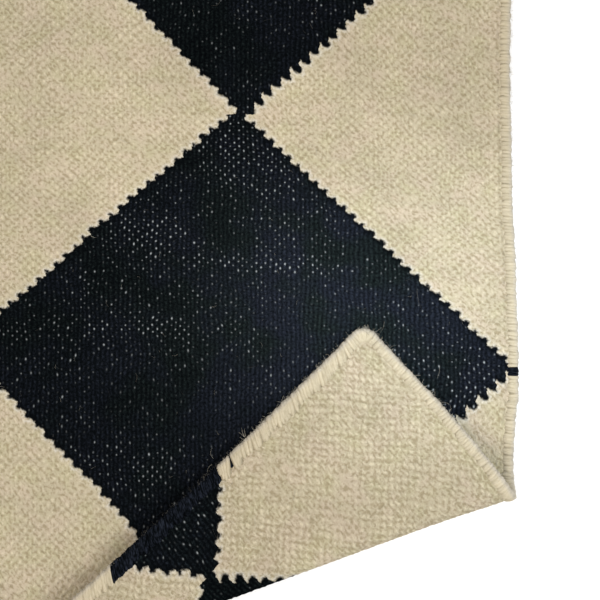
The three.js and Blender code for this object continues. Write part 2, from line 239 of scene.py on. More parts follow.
# How deep the hollows are between beads and the grooves between warps, in millimetres, and how much
# flatter both are where a roll presses the cloth
RELIEF = 0.45
RIB_RELIEF = 0.12
FLATTER_WHERE_PRESSED = 0.85


def flat_place(a, b):
    """(u, v) of a place in the weave, whose threads wander a little but not along the edges."""
    u = WARP * a
    v = np.interp(b, PICKS[:, 0], PICKS[:, 1])
    first, last = CLOTH_ENDS
    inside = smoothstep(CLOTH_SIDE - np.abs(a), 0, STRAIGHT_WARPS)
    inside = inside * smoothstep(b, first, first + STRAIGHT_PICKS)
    inside = inside * smoothstep(-b, -last, STRAIGHT_PICKS - last)
    wander_across = 0.6 * inside * drift(u, v, 30, 120, 11)
    wander_along = 0.7 * inside * drift(u, v, 35, 140, 12)
    return u + wander_across, v + wander_along


def picks_at(v):
    """How many picks there are as far as v."""
    return np.interp(v, PICKS[:, 1], PICKS[:, 0])


def is_black(a, b):
    """Whether a place of the weave is in one of the stepped diamonds."""
    row = np.round(b / (2 * DIAMOND_PICKS))
    shift = np.where(row % 2 == 0, -1, 1)
    across = (a - shift) % (2 * DIAMOND_WARPS) - DIAMOND_WARPS
    steps = np.abs(np.floor(across / STEP) + 0.5)
    return np.abs(b - 2 * DIAMOND_PICKS * row) < DIAMOND_PICKS + 1 - STEP * steps


# Where the black wefts don't quite cover the pale warps: middle and size in threads, and how bare
BARE_PATCHES = [
    (59.7, 52, 9, 10, 0.75),
    (110, -1, 13, 11, 0.4),
    (92, 14, 18, 18, -0.1),
    (106, -16, 9, 8, 0.25),
    (38.6, 28, 8, 5, 0.6),
    (41, 5, 12, 3, 0.6),
    (37.5, -23, 15, 7, 0.5),
    (68.5, 22, 22, 1.5, 0.7),
    (58, -28, 26, 24, -0.5),
    (62, 76, 24, 15, -0.3),
]

# Where the painted sheen on the black is strongest, under the pool of light: middle and size in threads
SHEEN_PATCH = (86, 10, 33, 30)


def in_patch(a, b, a_at, b_at, wide, high):
    """1 in the middle of a soft patch of the weave, and less and less outward."""
    return np.exp(-(((a - a_at) / wide) ** 2) - ((b - b_at) / high) ** 2)


def bareness(a, b):
    """How often a pale warp shows in the black."""
    bare = 0.42 + 0.17 * drift(a, b, 9, 40, 21)
    for *patch, how in BARE_PATCHES:
        bare = bare + how * in_patch(a, b, *patch)
    return np.clip(bare, 0, 1)


def painted_sheen(a, b):
    """How much painted sheen greys the black: most where the light pools, and a little at random."""
    return np.clip(0.06 * drift(a, b, 30, 90, 22) + 0.6 * in_patch(a, b, *SHEEN_PATCH), 0, 1)


def round_corners(u, v):
    """Pulls the cloth's square corners in, so that they stay inside the rolls."""
    reach = CORNER_RADIUS - IN_FROM_CORNER
    over_u = np.abs(u) - (HALF_WIDTH - CORNER_RADIUS)
    over_v = np.abs(v) - (HALF_LENGTH - CORNER_RADIUS)
    in_corner = (over_u > 0) & (over_v > 0)
    over_u = np.where(in_corner, over_u, 0)
    over_v = np.where(in_corner, over_v, 0)
    far = np.maximum(np.hypot(over_u, over_v), 1e-6)
    kept = np.where(in_corner, np.minimum(np.maximum(over_u, over_v), reach) / far, 1)
    return u - np.sign(u) * over_u * (1 - kept), v - np.sign(v) * over_v * (1 - kept)


# Meshes


def fill(items, key, numbers, kind=np.float32):
    """Gives every item of a mesh its numbers at once."""
    items.foreach_set(key, np.ravel(numbers).astype(kind))


def new_piece(name, points, faces, material, smooth=True, uv=None, values=None):
    """A mesh of points in millimetres and faces of one size, as a piece that rides on the rug. uv is a
    layer's name and numbers for each corner, and values are numbers for the points, by name."""
    mesh = bpy.data.meshes.new(name)
    mesh.vertices.add(points[..., 0].size)
    fill(mesh.vertices, "co", points * METRES)
    mesh.loops.add(faces.size)
    fill(mesh.loops, "vertex_index", faces, np.int32)
    mesh.polygons.add(len(faces))
    fill(mesh.polygons, "loop_start", np.arange(0, faces.size, faces.shape[1]), np.int32)
    fill(mesh.polygons, "use_smooth", np.broadcast_to(smooth, len(faces)), bool)
    if uv is not None:
        fill(mesh.uv_layers.new(name=uv[0]).data, "uv", uv[1])
    for key, numbers in (values or {}).items():
        every = np.broadcast_to(numbers, points.shape[:-1])
        fill(mesh.attributes.new(key, "FLOAT", "POINT").data, "value", every)
    mesh.update(calc_edges=True)
    mesh.materials.append(material)
    piece = bpy.data.objects.new(name, mesh)
    bpy.context.collection.objects.link(piece)
    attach(piece, "root")
    return piece


def grid_faces(rows, columns):
    """The quads of a grid of points, and its rim as a ring of points that runs anticlockwise."""
    index = np.arange(rows * columns).reshape(rows, columns)
    quads = np.stack([index[:-1, :-1], index[:-1, 1:], index[1:, 1:], index[1:, :-1]], axis=-1)
    rim = np.concatenate([index[0, :-1], index[:-1, -1], index[-1, :0:-1], index[:0:-1, 0]])
    return quads.reshape(-1, 4), rim


def tube_faces(rings, closed):
    """The quads of tubes, each given as rings of points one after another. A closed tube goes on from
    its last ring to its first."""
    index = np.arange(rings[..., 0].size).reshape(rings.shape[:3])
    ahead = np.roll(index, -1, axis=1)
    corners = [index, np.roll(index, -1, axis=2), np.roll(ahead, -1, axis=2), ahead]
    faces = np.stack(corners, axis=-1)
    return (faces if closed else faces[:, :-1]).reshape(-1, 4)


def beads(a, b, side):
    """How far out a weft stands: 1 on top of a bead and 0 in the hollows, on the right side or, with
    its beads one warp over, on the wrong side."""
    along = a - 0.5 + (side < 0)
    return 0.5 + 0.5 * np.cos(np.pi * along) * np.cos(np.pi * (b - 0.5))


# Scales that fit the whole weave into one UV square, with the wrong side in the square beside it
UV_WARPS = 400
UV_PICKS = 500
UV_FIRST_PICK = 100

# Where a fine stretch of the cloth's mesh meets a coarse one, and another fine one
SEAM_ALONG = 0.5
SEAM_ACROSS = 92.5
FINE_SEAM = 60

# The cloth is shaded smooth but for its cut edges, so that its seams don't show
SHARP = math.radians(60)


def woven(a, b):
    """(u, v) of a place of the weave, the threads as its uneven yarn shows them, and its points on
    the right and wrong sides."""
    u, v = flat_place(a, b)
    u, v = round_corners(u, v)
    pressed = pressed_at(u, v)
    half = mix(CLOTH_THICKNESS, CLOTH_THICKNESS_AT_EDGE, pressed) / 2
    inside = smoothstep(CLOTH_SIDE - np.abs(a), 0, EVEN_WARPS)
    stray_across = 0.12 * drift(u, v, 5, 14, 31) + 0.2 * drift(u, v, 16, 45, 34)
    stray_along = 0.14 * drift(u, v, 5, 16, 32) + 0.25 * drift(u, v, 16, 45, 35)
    a_seen = a + inside * stray_across
    b_seen = b + inside * stray_along
    plumpness = np.clip(1 + 0.3 * drift(u, v, 5, 12, 33), 0.5, 1.5)
    open_cloth = 1 - FLATTER_WHERE_PRESSED * pressed
    depth = RELIEF * plumpness * open_cloth
    rib = RIB_RELIEF * open_cloth * (0.5 + 0.5 * np.cos(FULL_TURN * a_seen))
    surfaces = []
    for side in (1, -1):
        sunk = rib + (depth - rib) * (1 - beads(a_seen, b_seen, side))
        surfaces.append(place(u, v, side * (half - sunk)))
    return u, v, a_seen, b_seen, np.stack(surfaces)


def cloth(name, a_lines, b_lines, material):
    """A stretch of the woven cloth, closed all round, with the humps of its wefts on both sides.
    Along a seam, points that only the finer of two meshes has lie on the edges of the coarser."""
    a, b = np.meshgrid(a_lines, b_lines)
    across_seam = (b == SEAM_ACROSS) & (a % 1 == 0) & (np.abs(a) < CLOTH_SIDE)
    along_seam = (a == SEAM_ALONG) & (b % 1 == 0)
    before = woven(a - 0.5 * across_seam, b - 0.5 * along_seam)
    after = woven(a + 0.5 * across_seam, b + 0.5 * along_seam)
    u, v, a_seen, b_seen, points = [(first + second) / 2 for first, second in zip(before, after)]

    quads, rim = grid_faces(*a.shape)
    under = a.size
    next_rim = np.roll(rim, -1)
    walls = np.stack([rim + under, next_rim + under, next_rim, rim], axis=-1)
    faces = np.concatenate([quads, quads[:, ::-1] + under, walls])
    number = np.arange(len(faces))
    smooth = number < 2 * len(quads)
    wrong_side = smooth & (number >= len(quads))

    across = a_seen.ravel() / UV_WARPS + 0.5
    up = (b_seen.ravel() + UV_FIRST_PICK) / UV_PICKS
    corner = faces.ravel() % under
    uv = np.stack([across[corner] + np.repeat(wrong_side, 4), up[corner]], axis=-1)
    values = {"bare": bareness(a, b), "painted_sheen": painted_sheen(a, b), "to_hole": distance_to_holes(u, v)}
    piece = new_piece(name, points, faces, material, smooth, ("Weave", uv), values)
    piece.data.set_sharp_from_angle(angle=SHARP)
    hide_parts("field")


def distance_to_holes(u, v):
    """How far a point of the cloth is inside the row of needle holes along its edges."""
    from_side = HALF_WIDTH - SIDE_ROLL_WIDTH - np.abs(u)
    from_end = HALF_LENGTH - END_ROLL_WIDTH - np.abs(v)
    return np.minimum(from_side, from_end)


# Bindings: yarn wound over the edges

# The yarn's section, and how far above and below the cloth's middle its own middle passes
YARN_HALF_WIDTH = 1.55
YARN_HALF_THICKNESS = 0.75
YARN_SIDES = 5
YARN_TURN = ROLL_HEIGHT / 2 - YARN_HALF_THICKNESS

# The upper half of one turn of yarn: so far in from the edge, or from the needle hole if the depth
# counts, and what share of its height above the cloth's middle
TURN_FROM_EDGE = [(0.75, 0), (1.0, 0.5), (1.8, 0.88), (3.1, 1)]
TURN_FROM_HOLE = [(-2.2, 0.98), (-1.1, 0.8), (-0.1, 0.4)]

# The two kinds of roll: half the length of its edge and how far out that is, how deep its turns reach
# in, how far they shift along the edge for each millimetre inward, how far apart they are, how much
# painted shade darkens the partings between them on the right and on the wrong side, and how far the
# roll goes on round a corner
END_ROLL = {
    "half": HALF_WIDTH, "out": HALF_LENGTH, "depth": END_ROLL_WIDTH, "slant": -0.47, "pitch": 1.8,
    "parting_shade_share": (0.5, 0.5), "past_corner": CORNER_RADIUS * math.pi / 2,
}
SIDE_ROLL = {
    "half": HALF_LENGTH, "out": HALF_WIDTH, "depth": SIDE_ROLL_WIDTH, "slant": 0, "pitch": 1.6,
    "parting_shade_share": (0.35, 0.1), "past_corner": 0,
}

# The edges: the quarter turns that bring each from the front to its place, and its share of fuzz
EDGES = {
    "front": {"quarter_turns": 0, "fuzz": 0.3, **END_ROLL},
    "right": {"quarter_turns": 1, "fuzz": 0.4, **SIDE_ROLL},
    "back": {"quarter_turns": 2, "fuzz": 0.15, **END_ROLL},
    "left": {"quarter_turns": 3, "fuzz": 0.15, **SIDE_ROLL},
}

# How unevenly the turns are wound: the least and the most of each measure
UNEVEN = {
    "pitch": (0.78, 1.24), "bulge": (-0.35, 0.35), "depth": (-1.3, 0.7), "width": (0.85, 1.15),
    "height": (0.92, 1), "lean": (-0.12, 0.12),
}

# In the corners, from a little before them, the turns are shallower and narrower
CORNER_DEPTH = 7.2
CORNER_WIDTH = 0.92
BEFORE_CORNER = 12
INTO_CORNER = 2

# The yarn is narrower where it dips through its hole, and wider on the wrong side
DIP_LENGTH = 1.6
WIDTH_IN_CLOTH = 0.9
WIDTH_ON_WRONG_SIDE = 1.2

# The last warp that gives its colour to the yarn beside it
LAST_WARP = 119.9

# Where the front end's cream yarn gives way to black, its last turns are loose, with a black one
# between two of them: along the edge, lean, depth, width and height as shares, and whether black.
# There is room before the first and after the last.
LOOSE_TURNS = np.array([
    (189.3, -0.4, 6.9, 0.9, 1, 0), (191.2, -0.52, 9.1, 0.9, 1, 0), (193.3, -0.6, 10, 0.9, 1, 0),
    (195.7, -0.68, 9.6, 0.8, 1, 0), (197.0, -0.47, 7.2, 1, 0.75, 1), (198.3, -0.25, 9.4, 0.8, 1, 0),
])
LOOSE_ROOM = (1, 1.2)


def on_edge(edge, along, inward):
    """(u, v) of a point so far along an edge from its middle, anticlockwise, and so far in. Past the
    ends of the straight part it goes round the corner."""
    straight = edge["half"] - CORNER_RADIUS
    past = np.sign(along) * np.maximum(np.abs(along) - straight, 0) / CORNER_RADIUS
    x = np.clip(along, -straight, straight) + (CORNER_RADIUS - inward) * np.sin(past)
    y = CORNER_RADIUS - edge["out"] - (CORNER_RADIUS - inward) * np.cos(past)
    for _ in range(edge["quarter_turns"]):
        x, y = -y, x
    return x, y


def yarn_is_black(u, v):
    """Whether the yarn over an edge is black at a place, as the cloth beside it is."""
    return is_black(np.clip(u / WARP, -LAST_WARP, LAST_WARP), picks_at(v))


def turns_over(edge, loose, random):
    """The turns of yarn over one edge, as a row of numbers for each of their measures. Loose turns
    take the place of even ones."""
    def uneven(measure, count):
        return random.uniform(*UNEVEN[measure], count)

    reach = edge["half"] - CORNER_RADIUS + edge["past_corner"]
    steps = edge["pitch"] * uneven("pitch", int(4 * reach / edge["pitch"]))
    along = np.cumsum(steps) - steps[0] / 2 - reach
    along = along[along < reach]
    if loose is not None:
        along = along[(along < loose[0, 0] - LOOSE_ROOM[0]) | (along > loose[-1, 0] + LOOSE_ROOM[1])]
    count = len(along)

    straight = edge["half"] - CORNER_RADIUS
    into_corner = smoothstep(np.abs(along), straight - BEFORE_CORNER, straight + INTO_CORNER)
    bulge = uneven("bulge", count)
    depth = edge["depth"] + uneven("depth", count) * (edge["depth"] / END_ROLL_WIDTH) ** 2
    width = YARN_HALF_WIDTH * uneven("width", count)
    turns = {
        "along": along,
        "bulge": bulge,
        "depth": mix(depth, min(edge["depth"], CORNER_DEPTH), into_corner),
        "width": width * mix(1, CORNER_WIDTH, into_corner),
        "height": YARN_TURN * uneven("height", count),
        "lean": edge["slant"] * (1 - into_corner) + uneven("lean", count),
        "black": yarn_is_black(*on_edge(edge, along, 0)),
    }
    if loose is None:
        return turns
    along, lean, depth, width, height, black = loose.T
    loose_turns = {
        "along": along, "bulge": 0 * along, "depth": depth, "width": width * YARN_HALF_WIDTH,
        "height": height * YARN_TURN, "lean": lean, "black": black,
    }
    return {measure: np.append(row, loose_turns[measure]) for measure, row in turns.items()}


def turn_outline(turns):
    """The stations of each turn, out over the edge and back under it: how far each is in from the
    edge, and its share of the turn's height."""
    upper = [(inward - turns["bulge"], share) for inward, share in TURN_FROM_EDGE]
    upper += [(turns["depth"] + back, share) for back, share in TURN_FROM_HOLE]
    lower = [(inward, -share) for inward, share in upper[:0:-1]]
    inward, shares = zip(*upper, *lower)
    return np.stack(inward, axis=1), np.array(shares)


def unit(vectors):
    """Vectors brought to a length of 1."""
    return vectors / np.maximum(np.linalg.norm(vectors, axis=-1, keepdims=True), 1e-9)


def yarn_uv(middle, turn):
    """UVs that count millimetres along each turn of yarn, and one for each way round it."""
    count, stations, _ = middle.shape
    run = np.linalg.norm(np.roll(middle, -1, axis=1) - middle, axis=-1)
    end = np.cumsum(run, axis=1)
    start = end - run
    uv = np.empty((count, stations, YARN_SIDES, 4, 2))
    uv[..., 0] = np.stack([start, start, end, end], axis=-1)[:, :, None]
    uv[..., 1] = turn[:, None] + np.array([0, 1, 1, 0]) / YARN_SIDES
    uv[..., 1] += np.arange(count)[:, None, None, None]
    return uv


def binding(name, edge, material, seed, loose=None):
    """The overcasting of one edge: a closed ring of yarn for each turn, square to its own way."""
    random = np.random.default_rng(seed)
    turns = turns_over(edge, loose, random)
    inward, share = turn_outline(turns)
    above = turns["height"][:, None] * share

    def spine(shift=0):
        """The middle of each turn of yarn, or a line beside it on the rug."""
        along = turns["along"][:, None] + shift + turns["lean"][:, None] * inward
        return place(*on_edge(edge, along, inward), above)

    middle = spine()
    tangent = unit(np.roll(middle, -1, axis=1) - np.roll(middle, 1, axis=1))
    outward = unit(np.cross(unit(spine(0.4) - spine(-0.4)), tangent))
    sideways = np.cross(tangent, outward)

    turn = np.arange(YARN_SIDES) / YARN_SIDES
    around = FULL_TURN * (turn + 0.25)
    depth = turns["depth"][:, None]
    in_cloth = smoothstep(inward, depth - DIP_LENGTH, depth)
    wide = turns["width"][:, None] * mix(1, WIDTH_IN_CLOTH, in_cloth)
    wide = wide * mix(WIDTH_ON_WRONG_SIDE, 1, share > 0)
    points = middle[:, :, None] + (
        sideways[:, :, None] * (wide[:, :, None] * np.cos(around))[..., None]
        + outward[:, :, None] * (YARN_HALF_THICKNESS * np.sin(around))[:, None]
    )

    # The yarn's material paints shade from these numbers: where a turn dips into its hole, in the
    # partings between turns, and on the roll's outer edge
    parting_shade_right, parting_shade_wrong = edge["parting_shade_share"]
    values = {
        "black": turns["black"][:, None, None],
        "tone": random.uniform(0, 1, (len(inward), 1, 1)),
        "hidden": in_cloth[..., None],
        "parting_shade_share": mix(parting_shade_wrong, parting_shade_right, share > 0)[:, None],
        "outside": 1 - smoothstep(inward, 1.0, 3.0)[..., None],
    }
    faces = tube_faces(points, True)
    uv = ("Yarn", yarn_uv(middle, turn))
    piece = new_piece(name, points, faces, material, uv=uv, values=values)
    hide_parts(name.replace("overcast", "binding"))


# Loose fibres

HAIR_POINTS = 4
HAIR_SIDES = 3
HAIR_ABOVE_FLOOR = 0.3

# A direction that hardly any fibre lies in, to turn its section by
ASKEW = (0.3, 0.2, 1)

# How far from the middle of the rug fibres lie on the cloth, across and along
FUZZ_SIDE = HALF_WIDTH - 8
FUZZ_END = HALF_LENGTH - 11

# The fuzz, in millimetres, with the share of its fibres that is so many times longer
EDGE_FUZZ = {"count": 4800, "length": (0.9, 2.4), "longer": 1.8, "share": 0.05, "radius": (0.06, 0.1)}
CLOTH_FUZZ = {"count": 2000, "length": (1.2, 3.5), "longer": 2.4, "share": 0.25, "radius": (0.04, 0.08)}

# How high fibres spring from the back of the yarn and from beside the edge
ON_YARN = 2.2
BESIDE_EDGE = 0.9


def hairs(name, u, v, above, radius, pale, material):
    """Fine curved fibres, each through its own row of points, which are given as on the rug."""
    points = place(u, v, above)
    points[..., 2] = np.maximum(points[..., 2], HAIR_ABOVE_FLOOR)
    ahead = unit(np.gradient(points, axis=1))
    beside = unit(np.cross(ahead, ASKEW))
    over = np.cross(beside, ahead)
    thinner = radius[:, None] * np.linspace(1, 0.4, HAIR_POINTS)
    around = FULL_TURN * np.arange(HAIR_SIDES) / HAIR_SIDES
    rings = points[:, :, None] + thinner[:, :, None, None] * (
        beside[:, :, None] * np.cos(around)[:, None] + over[:, :, None] * np.sin(around)[:, None]
    )
    values = {"pale": pale[:, None, None]}
    new_piece(name, rings, tube_faces(rings, False), material, values=values)


def curled(random, count, length, heading):
    """Two rows of numbers for each fibre: how far its points are along and across, as it curls."""
    share = np.linspace(0, 1, HAIR_POINTS)
    curl = random.normal(0, 1.1, (count, 1))
    angle = heading[:, None] + curl * share + random.normal(0, 0.5, (count, 1)) * share ** 2
    step = length[:, None] / (HAIR_POINTS - 1)
    x = np.cumsum(np.cos(angle) * step, axis=1) - np.cos(angle[:, :1]) * step
    y = np.cumsum(np.sin(angle) * step, axis=1) - np.sin(angle[:, :1]) * step
    return x, y


def lengths(random, fuzz):
    """How long each fibre is."""
    count, share = fuzz["count"], fuzz["share"]
    usual = random.uniform(*fuzz["length"], count)
    return usual * random.choice([1, fuzz["longer"]], count, p=[1 - share, share])


def edge_fuzz(name, material, seed):
    """Short fibres that stand out of the overcast edges, most of them in front and on the right."""
    random = np.random.default_rng(seed)
    count = EDGE_FUZZ["count"]
    edges = list(EDGES.values())
    which = random.choice(len(edges), count, p=[edge["fuzz"] for edge in edges])
    u = np.empty((count, HAIR_POINTS))
    v = np.empty((count, HAIR_POINTS))
    length = lengths(random, EDGE_FUZZ)
    outward, aside = curled(random, count, length, random.normal(0, 1.1, count))
    start = random.uniform(-0.2, 1.6, count)
    inward = start[:, None] - outward
    for number, edge in enumerate(edges):
        mine = which == number
        along = random.uniform(-edge["half"], edge["half"], mine.sum())
        u[mine], v[mine] = on_edge(edge, along[:, None] + aside[mine], inward[mine])
    side = random.choice([-1, 1], count)
    above = side * np.where(start > 0.4, ON_YARN, BESIDE_EDGE)
    above = above[:, None] + random.uniform(-0.5, 0.7, (count, 1)) * np.linspace(0, 1, HAIR_POINTS)
    radius = random.uniform(*EDGE_FUZZ["radius"], count)
    on_black = yarn_is_black(u[:, 0], v[:, 0])
    pale = np.where(on_black, random.uniform(0, 0.25, count), random.uniform(0.6, 1, count))
    hairs(name, u, v, above, radius, pale, material)


def cloth_fuzz(name, material, seed):
    """Fibres that lie on the cloth, paler ones also on the black."""
    random = np.random.default_rng(seed)
    count = CLOTH_FUZZ["count"]
    u = random.uniform(-FUZZ_SIDE, FUZZ_SIDE, count)
    v = random.uniform(-FUZZ_END, FUZZ_END, count)
    length = lengths(random, CLOTH_FUZZ)
    x, y = curled(random, count, length, random.uniform(-np.pi, np.pi, count))
    u = np.clip(u[:, None] + x, -FUZZ_SIDE, FUZZ_SIDE)
    v = np.clip(v[:, None] + y, -FUZZ_END, FUZZ_END)
    side = random.choice([-1, 1], count, p=[0.25, 0.75])
    rise = random.uniform(0.1, 0.7, (count, 1)) * np.sin(np.linspace(0, np.pi, HAIR_POINTS))
    above = side[:, None] * (CLOTH_THICKNESS / 2 - 0.1 + rise)
    radius = random.uniform(*CLOTH_FUZZ["radius"], count)
    on_black = is_black(u[:, 0] / WARP, picks_at(v[:, 0]))
    pale = np.where(on_black, random.uniform(0, 0.75, count) ** 2, random.uniform(0.7, 1, count))
    hairs(name, u, v, above, radius, pale, material)


# Longer single fibres on the wrong side of the rolls, which shows on the flap: where each springs from
# on the rug, its heading in degrees and its length in the flat, how it curls, and how pale it is
STRAYS = np.array([
    (293, -437, -50, 10, 1.0, 0.5), (296, -441, -75, 6, -0.8, 0.45), (298, -430, -20, 5, 0.9, 0.4),
    (190, -452, -120, 6, 1.6, 0.6), (188, -451, -150, 5, -1.2, 0.5), (192, -438, 160, 8, 0.8, 0.35),
    (209, -449, -80, 5, 0.3, 1), (209.3, -449, -90, 4.5, -0.3, 1), (209.6, -449, -74, 4.2, 0.4, 1),
    (209.1, -448, -120, 3.5, 0.2, 1), (236, -449, -60, 4, 0.8, 0.8), (237, -449, -100, 3, -0.7, 0.8),
    (299, -392, 10, 4, 1.2, 0.45), (299, -385, -15, 5, -1.3, 0.4), (299, -371, 25, 4.5, 1.5, 0.45),
    (299, -362, -25, 5, 1.1, 0.4), (299, -351, 15, 4, -1.6, 0.4), (299, -346, 0, 6, 1.3, 0.35),
])
STRAY_HAIR_RADIUS = 0.09
STRAY_HAIR_HEIGHT = -2.4
STRAY_HAIR_RISE = 0.5


def stray_hairs(name, material):
    """The single fibres of the table."""
    root_u, root_v, heading, length, curl, pale = STRAYS.T[:, :, None]
    share = np.linspace(0, 1, HAIR_POINTS)
    angle = np.radians(heading) + curl * share
    step = length / (HAIR_POINTS - 1)
    u = root_u + np.cumsum(np.cos(angle) * step, axis=1)
    v = root_v + np.cumsum(np.sin(angle) * step, axis=1)
    above = STRAY_HAIR_HEIGHT - STRAY_HAIR_RISE * np.sin(np.pi * share)
    radius = np.full(len(u), STRAY_HAIR_RADIUS)
    hairs(name, u, v, above, radius, pale[:, 0], material)


# Materials


def linear(*shown):
    """A colour given as it shows on a screen, 0 to 255, in the numbers that light is reckoned in."""
    def channel(value):
        return value / 12.92 if value <= 0.04045 else ((value + 0.055) / 1.055) ** 2.4
    return (*(channel(value / 255) for value in shown), 1)


def node_of(operation):
    """A method that puts a wire and others through one such node."""
    def method(wire, *others):
        return wire.net.math(operation, wire, *others)
    return method


class Wire:
    """What comes out of a node. Sums, products and comparisons of wires are nodes too."""

    def __init__(self, net, socket):
        self.net = net
        self.socket = socket

    __add__ = node_of("ADD")
    __sub__ = node_of("SUBTRACT")
    __mul__ = node_of("MULTIPLY")
    __truediv__ = node_of("DIVIDE")
    __gt__ = node_of("GREATER_THAN")
    __lt__ = node_of("LESS_THAN")
    maximum = node_of("MAXIMUM")
    power = node_of("POWER")
    root = node_of("SQRT")
    exponent = node_of("EXPONENT")
    sine = node_of("SINE")
    cosine = node_of("COSINE")
    size = node_of("ABSOLUTE")
    floor = node_of("FLOOR")

    def nearest(self):
        return (self + 0.5).floor()

    def squared(self):
        return self * self


class Net:
    """The nodes of a material, as dull as wool unless told otherwise."""

    def __init__(self, name, roughness=1, specular=0):
        self.material = bpy.data.materials.new(name)
        self.material.use_nodes = True
        self.tree = self.material.node_tree
        self.shader = self.tree.nodes["Principled BSDF"]
        self.shader.inputs["Roughness"].default_value = roughness
        self.shader.inputs["Specular IOR Level"].default_value = specular

    def feed(self, socket, value):
        if isinstance(value, Wire):
            self.tree.links.new(value.socket, socket)
        else:
            socket.default_value = value

    def wire(self, kind, inputs=(), output=0, **settings):
        """What comes out of a new node."""
        node = self.tree.nodes.new(kind)
        for key, value in settings.items():
            setattr(node, key, value)
        for key, value in dict(inputs).items():
            self.feed(node.inputs[key], value)
        return Wire(self, node.outputs[output])

    def math(self, operation, *values):
        return self.wire("ShaderNodeMath", enumerate(values), operation=operation)

    def uv(self, name):
        """The two numbers of a UV layer."""
        both = {0: self.wire("ShaderNodeUVMap", uv_map=name)}
        return [self.wire("ShaderNodeSeparateXYZ", both, axis) for axis in (0, 1)]

    def value(self, name):
        """A number that each point of the mesh carries."""
        return self.wire("ShaderNodeAttribute", output="Fac", attribute_name=name)

    def vector(self, x, y, z):
        return self.wire("ShaderNodeCombineXYZ", {0: x, 1: y, 2: z})

    def noise(self, vector, scale, detail, rough=0.5):
        """Noise from about 0.2 to 0.8, with scale bumps in one unit of the vector."""
        inputs = {"Vector": vector, "Scale": scale, "Detail": detail, "Roughness": rough}
        return self.wire("ShaderNodeTexNoise", inputs, "Fac")

    def random(self, vector):
        """A number from 0 to 1 that is another for each vector."""
        return self.wire("ShaderNodeTexWhiteNoise", {"Vector": vector}, "Value")

    def ramp(self, value, low, high, start=0.0, end=1.0):
        """start below low, end above high, and eased between."""
        inputs = {"Value": value, "From Min": low, "From Max": high, "To Min": start, "To Max": end}
        return self.wire("ShaderNodeMapRange", inputs, "Result", interpolation_type="SMOOTHSTEP")

    def blend(self, share, first, second):
        """One colour laid over another by a share. A mix node has its colours in these sockets."""
        return self.wire("ShaderNodeMix", {0: share, 6: first, 7: second}, 2, data_type="RGBA")

    def scaled(self, colour, share):
        """A colour made lighter or darker by a number."""
        return self.wire("ShaderNodeVectorMath", {0: colour, "Scale": share}, operation="SCALE")

    def bell(self, value, middle, width):
        """1 at the middle and next to nothing two widths from it."""
        return (((value - middle) / width).squared() * -1).exponent()

    def bump(self, height, distance, strength):
        """A normal for relief of so many millimetres."""
        inputs = {"Height": height, "Distance": distance * METRES, "Strength": strength}
        return self.wire("ShaderNodeBump", inputs)

    def finish(self, colour, normal=None):
        """The material, with its colour and any relief."""
        self.feed(self.shader.inputs["Base Color"], colour)
        if normal is not None:
            self.feed(self.shader.inputs["Normal"], normal)
        return self.material


CREAM = linear(177, 167, 143)
CREAM_GREENISH = linear(174, 166, 138)
CREAM_PINKISH = linear(181, 168, 147)
# Painted shade for the cream's hollows and a painted highlight for its beads
CREAM_PAINTED_SHADE = linear(141, 129, 101)
CREAM_PAINTED_HIGHLIGHT = linear(204, 194, 167)
CREAM_AT_STEP = linear(196, 191, 178)
YARN_CREAM = linear(180, 170, 147)
YARN_CREAM_DEEP = linear(163, 153, 128)
# Painted shade for the partings between turns of yarn
YARN_PAINTED_PARTING_SHADE = linear(140, 127, 100)
# Painted shade, greyish, for the roll's outer side
YARN_PAINTED_EDGE_SHADE = linear(170, 164, 153)
FIBRE_PALE = linear(190, 184, 168)
FIBRE_DARK = linear(20, 24, 32)
BLACK = linear(6, 8, 10)
# Painted sheen on the black, with some greying at random
BLACK_SHEEN_AND_GREYING = linear(37, 42, 52)
BLACK_SHEEN_AND_GREYING_GREENISH = linear(36, 45, 45)
PALE_WARP = linear(152, 158, 160)


class Weave:
    """A place on the cloth as its material sees it: the threads there, the place in millimetres, how
    far inside the black it is, and the noises that both colours of wool share. wrong is 1 on the
    wrong side."""

    def __init__(self, net):
        across, up = net.uv("Weave")
        self.wrong = across > 1
        self.a = (across - self.wrong - 0.5) * UV_WARPS
        self.b = up * UV_PICKS - UV_FIRST_PICK
        self.mm = net.vector(self.a * WARP, self.b * WARP, self.wrong * 60)
        self.inside_black = diamonds(net, self.a, self.b, self.mm)
        self.fibres = net.noise(self.mm, 2.0, 2.0, 0.7)
        self.fuzz = net.noise(self.mm, 0.7, 2.0, 0.6)
        self.cloudy = net.noise(self.mm, 0.02, 3.0, 0.6)
        self.rib = (self.a * FULL_TURN).cosine() * -0.5 + 0.5
        self.bead = beads_of_yarn(net, self)


def beads_of_yarn(net, weave):
    """How high the beads of the weave stand. They swell in two swaying rows that slant, and are joined
    a little along the warps."""
    wander = weave.wrong * 0.2 + 1.5
    elsewhere = net.vector(weave.b * WARP, weave.a * WARP, weave.wrong * 30)
    sway_a = (net.noise(weave.mm, 0.4, 2.0) - 0.5) * wander
    sway_b = (net.noise(elsewhere, 0.4, 2.0) - 0.5) * wander
    turned = weave.wrong * -2 + 1
    turns_a = (weave.a - 0.5 + weave.wrong + sway_a) * math.pi
    turns_b = (weave.b - 0.5 + sway_b) * turned * math.pi
    rows = (turns_a + turns_b).cosine() * (weave.wrong * 0.03 + 0.2)
    rows = rows + (turns_a - turns_b).cosine() * (weave.wrong * 0.025 + 0.185)
    rows = rows + (turns_a * 2).cosine() * (weave.wrong * 0.08 + 0.13)
    rows = rows - (turns_b * 2).cosine() * 0.065
    return (rows + 0.5).power(1.5)


